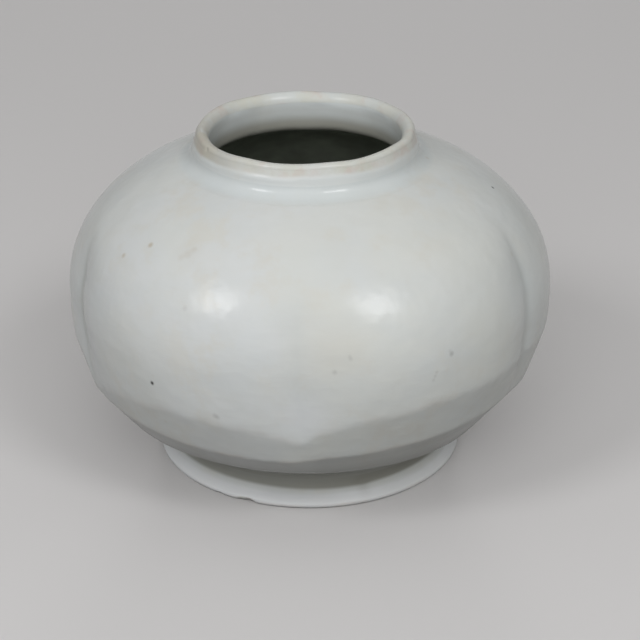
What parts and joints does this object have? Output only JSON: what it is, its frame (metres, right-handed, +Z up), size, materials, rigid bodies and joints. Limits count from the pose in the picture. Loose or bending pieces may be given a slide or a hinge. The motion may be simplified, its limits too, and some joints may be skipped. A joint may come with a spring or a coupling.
{
  "type": "lobed jar",
  "caption": "Squat melon-lobed porcelain jar with pale bluish glaze, a short neck with a bare rounded lip and a splayed foot ring, for keeping small things or liquids.",
  "frame": {"origin": "centre of the face that the foot ring stands on", "axes": "+Z up along the jar's axis, -Y towards the viewer with a groove between two lobes facing -Y"},
  "size_m": [0.1064, 0.1044, 0.0748],
  "materials": {
    "body_glaze": "satin-glossy pale bluish-white glaze over white porcelain",
    "foot_glaze": "satin-glossy glaze on the splayed wall, bare clay on the standing face",
    "neck_glaze": "glazed wall under a bare, warm, worn lip",
    "slip": "fired luting slip under the glaze"
  },
  "bodies": {
    "root": {"foot_ring": "foot_glaze", "foot_slip": "slip", "lower_body": "body_glaze", "belly_slip": "slip", "upper_body": "body_glaze", "neck_slip": "slip", "neck_collar": "neck_glaze"}
  },
  "joints": []
}
